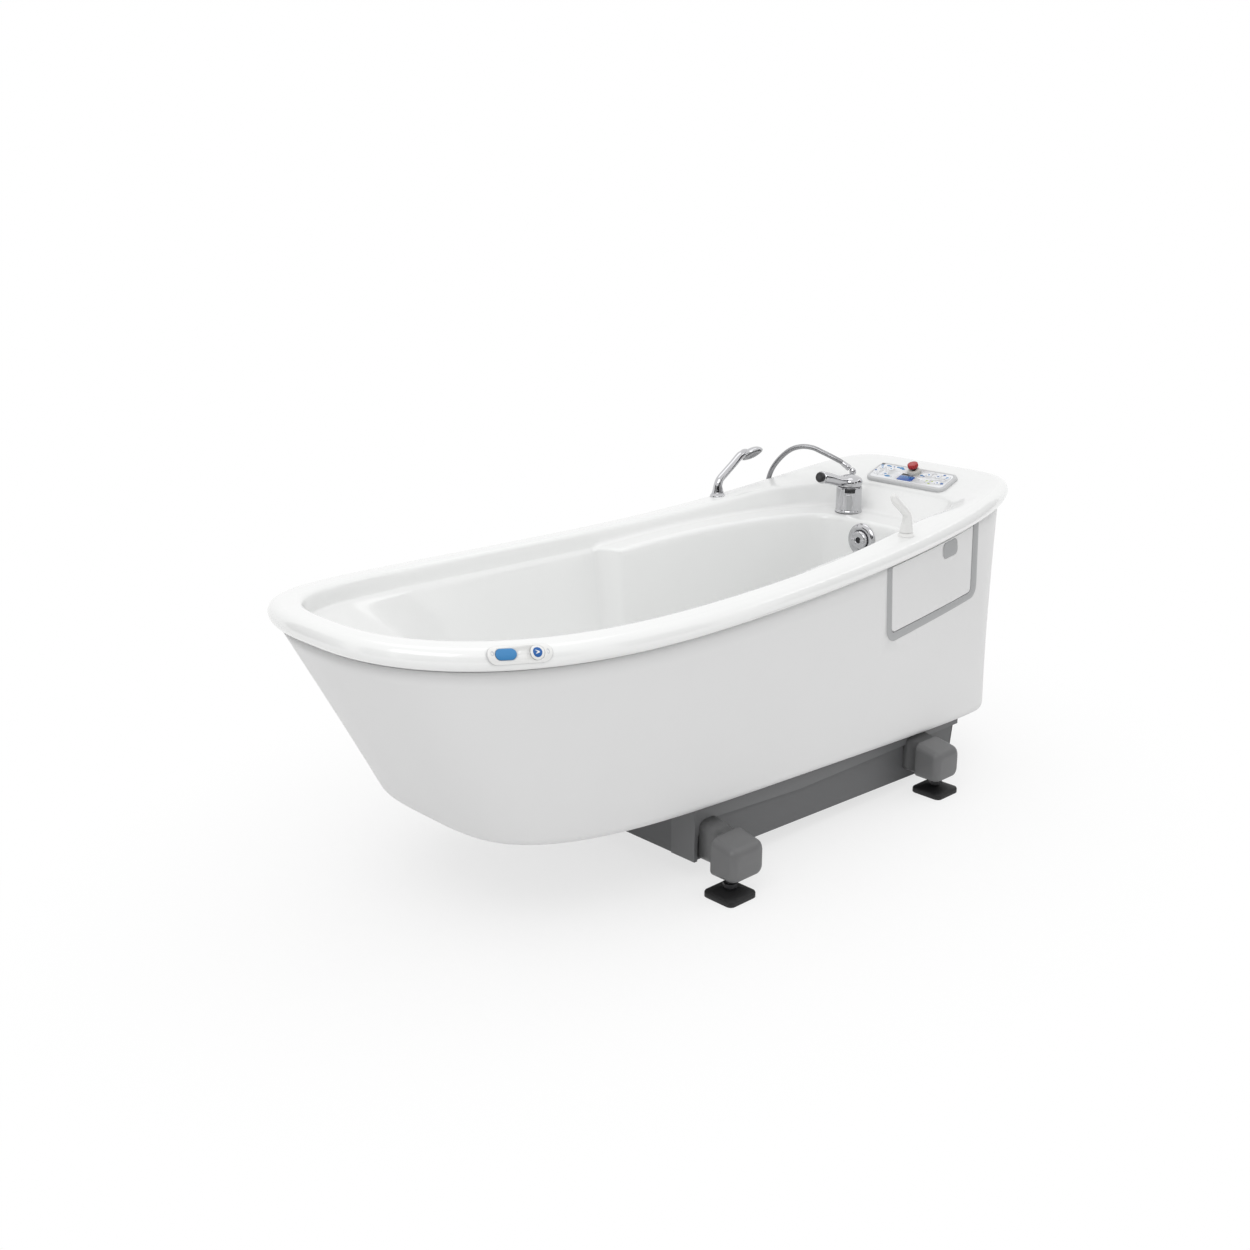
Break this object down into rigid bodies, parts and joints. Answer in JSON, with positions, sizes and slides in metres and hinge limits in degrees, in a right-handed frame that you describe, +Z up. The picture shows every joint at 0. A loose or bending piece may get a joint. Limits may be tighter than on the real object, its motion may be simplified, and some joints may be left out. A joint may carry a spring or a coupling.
{
  "type": "assisted bath",
  "caption": "Height-adjustable assisted bath with a contoured tub, rolled rim, control panel, mixer, two hand showers, service hatch and a low plinth on four feet.",
  "frame": {"origin": "on the floor under the middle of the rim's outline", "axes": "+X to the foot end with the controls, -Y to the side with the service hatch, +Z up"},
  "size_m": [2.05, 0.9, 0.8041],
  "materials": {
    "gelcoat_white": "gloss",
    "panel_white": "satin",
    "plinth_grey": "satin",
    "frame_steel": "satin",
    "hatch_grey": "matte",
    "boot_grey": "matte",
    "black_rubber": "matte",
    "bright_steel": "brushed",
    "chrome": "polished",
    "white_plastic": "gloss",
    "pale_plastic": "satin",
    "key_film": "satin",
    "display_blue": "gloss",
    "stop_red": "gloss",
    "pipe_grey": "matte",
    "brass": "satin",
    "key_blue": "satin",
    "key_dark_blue": "satin",
    "black_plastic": "satin"
  },
  "bodies": {
    "base": {"plinth_cover": "plinth_grey", "base_frame": "frame_steel", "foot_boots": "boot_grey", "foot_stems": "bright_steel", "foot_pads": "black_rubber", "column_outer": "bright_steel", "pump_unit": "frame_steel"},
    "middle_stage": {"column_middle": "bright_steel"},
    "tub": {"column_inner": "bright_steel", "tub_carrier": "frame_steel", "carrier_screws": "bright_steel", "tub_shell": "gelcoat_white", "apron": "panel_white", "hatch_frame": "hatch_grey", "hatch_magnets": "bright_steel", "panel_frame": "hatch_grey", "panel_foil": "white_plastic", "display": "display_blue", "stop_collar": "pale_plastic", "mixer_gasket": "black_rubber", "mixer_body": "chrome", "supply_tails": "bright_steel", "mixer_cartridge": "white_plastic", "hose_elbow": "chrome", "hose_ferrule": "chrome", "shower_hose": "chrome", "hose_grommet": "black_rubber", "handset_collar": "chrome", "back_nuts": "brass", "spray_collar": "white_plastic", "overflow_rosette": "chrome", "overflow_elbow": "pipe_grey", "overflow_pipe": "pipe_grey", "waste_flange": "chrome", "waste_trap": "pipe_grey", "waste_pipe": "pipe_grey", "keypad_housing": "white_plastic"},
    "hatch_door": {"hatch_door": "panel_white"},
    "hatch_latch": {"hatch_latch": "hatch_grey"},
    "stop_stem": {"stop_stem": "black_plastic"},
    "stop_button": {"stop_button": "stop_red"},
    "mixer_stem": {"mixer_stem": "bright_steel"},
    "mixer_handle": {"mixer_handle": "chrome", "handle_tip": "black_plastic"},
    "handset": {"handset": "chrome", "handset_face": "pale_plastic"},
    "spray_handle": {"spray_handle": "white_plastic"},
    "waste_knob": {"waste_knob": "chrome"},
    "waste_plug": {"waste_plug": "chrome"},
    "keypad_up": {"keypad_up": "key_blue"},
    "keypad_call": {"keypad_call": "key_dark_blue"},
    "key_1": {"key_1": "key_film"},
    "key_2": {"key_2": "key_film"},
    "key_3": {"key_3": "key_film"},
    "key_4": {"key_4": "key_film"},
    "key_5": {"key_5": "key_film"},
    "key_6": {"key_6": "key_film"},
    "key_7": {"key_7": "key_film"},
    "key_8": {"key_8": "key_film"},
    "key_9": {"key_9": "key_film"}
  },
  "joints": [
    {"name": "tub_lift", "type": "slide", "parent": "base", "child": "tub", "axis": [0, 0, 1], "range_m": [0, 0.3]},
    {"name": "middle_stage_lift", "type": "slide", "parent": "base", "child": "middle_stage", "axis": [0, 0, 1], "range_m": [0, 0.15]},
    {"name": "hatch_hinge", "type": "hinge", "parent": "tub", "child": "hatch_door", "pos_m": [0.397, -0.3345, 0.473], "axis": [0.9946, 0.0649, 0.0806], "range_deg": [0, 95]},
    {"name": "latch_pull", "type": "hinge", "parent": "hatch_door", "child": "hatch_latch", "pos_m": [0.65, -0.31916, 0.64025], "axis": [-0.9946, -0.0649, -0.0806], "range_deg": [0, 25], "stiffness_Nm_per_rad": 0.05},
    {"name": "key_1_press", "type": "slide", "parent": "tub", "child": "key_1", "axis": [0.3627, 0, -0.9319], "range_m": [0, 0.0008], "stiffness_N_per_m": 900},
    {"name": "key_2_press", "type": "slide", "parent": "tub", "child": "key_2", "axis": [0.3627, 0, -0.9319], "range_m": [0, 0.0008], "stiffness_N_per_m": 900},
    {"name": "key_3_press", "type": "slide", "parent": "tub", "child": "key_3", "axis": [0.3627, 0, -0.9319], "range_m": [0, 0.0008], "stiffness_N_per_m": 900},
    {"name": "key_4_press", "type": "slide", "parent": "tub", "child": "key_4", "axis": [0.3627, 0, -0.9319], "range_m": [0, 0.0008], "stiffness_N_per_m": 900},
    {"name": "key_5_press", "type": "slide", "parent": "tub", "child": "key_5", "axis": [0.3627, 0, -0.9319], "range_m": [0, 0.0008], "stiffness_N_per_m": 900},
    {"name": "key_6_press", "type": "slide", "parent": "tub", "child": "key_6", "axis": [0.3627, 0, -0.9319], "range_m": [0, 0.0008], "stiffness_N_per_m": 900},
    {"name": "key_7_press", "type": "slide", "parent": "tub", "child": "key_7", "axis": [0.3627, 0, -0.9319], "range_m": [0, 0.0008], "stiffness_N_per_m": 900},
    {"name": "key_8_press", "type": "slide", "parent": "tub", "child": "key_8", "axis": [0.3627, 0, -0.9319], "range_m": [0, 0.0008], "stiffness_N_per_m": 900},
    {"name": "key_9_press", "type": "slide", "parent": "tub", "child": "key_9", "axis": [0.3627, 0, -0.9319], "range_m": [0, 0.0008], "stiffness_N_per_m": 900},
    {"name": "stop_press", "type": "slide", "parent": "tub", "child": "stop_stem", "axis": [0.3627, 0, -0.9319], "range_m": [0, 0.005], "stiffness_N_per_m": 1500},
    {"name": "stop_twist", "type": "hinge", "parent": "stop_stem", "child": "stop_button", "pos_m": [0.92605, 0, 0.71868], "axis": [-0.3627, 0, 0.9319], "range_deg": [0, 30], "stiffness_Nm_per_rad": 0.03},
    {"name": "mixer_turn", "type": "hinge", "parent": "tub", "child": "mixer_stem", "pos_m": [0.76707, 0.101, 0.62749], "axis": [0, 0, 1], "range_deg": [-45, 45]},
    {"name": "handle_tilt", "type": "hinge", "parent": "mixer_stem", "child": "mixer_handle", "pos_m": [0.79657, 0.101, 0.70809], "axis": [0, 1, 0], "range_deg": [0, 15]},
    {"name": "handset_lift", "type": "slide", "parent": "tub", "child": "handset", "axis": [0, 0, 1], "range_m": [0, 0.12]},
    {"name": "spray_handle_lift", "type": "slide", "parent": "tub", "child": "spray_handle", "axis": [0, 0, 1], "range_m": [0, 0.12]},
    {"name": "waste_turn", "type": "hinge", "parent": "tub", "child": "waste_knob", "pos_m": [0.7027, 0, 0.57649], "axis": [-0.9982, 0, 0.0593], "range_deg": [0, 90]},
    {"name": "plug_lift", "type": "slide", "parent": "tub", "child": "waste_plug", "axis": [0, 0, 1], "range_m": [0, 0.008]},
    {"name": "keypad_up_press", "type": "slide", "parent": "tub", "child": "keypad_up", "axis": [0.2449, 0.792, -0.5592], "range_m": [0, 0.001], "stiffness_N_per_m": 700},
    {"name": "keypad_call_press", "type": "slide", "parent": "tub", "child": "keypad_call", "axis": [0.2449, 0.792, -0.5592], "range_m": [0, 0.001], "stiffness_N_per_m": 700}
  ],
  "couplings": [
    {"joint": "middle_stage_lift", "follows": "tub_lift", "ratio": 0.5},
    {"joint": "plug_lift", "follows": "waste_turn", "m_per_rad": 0.005093}
  ]
}
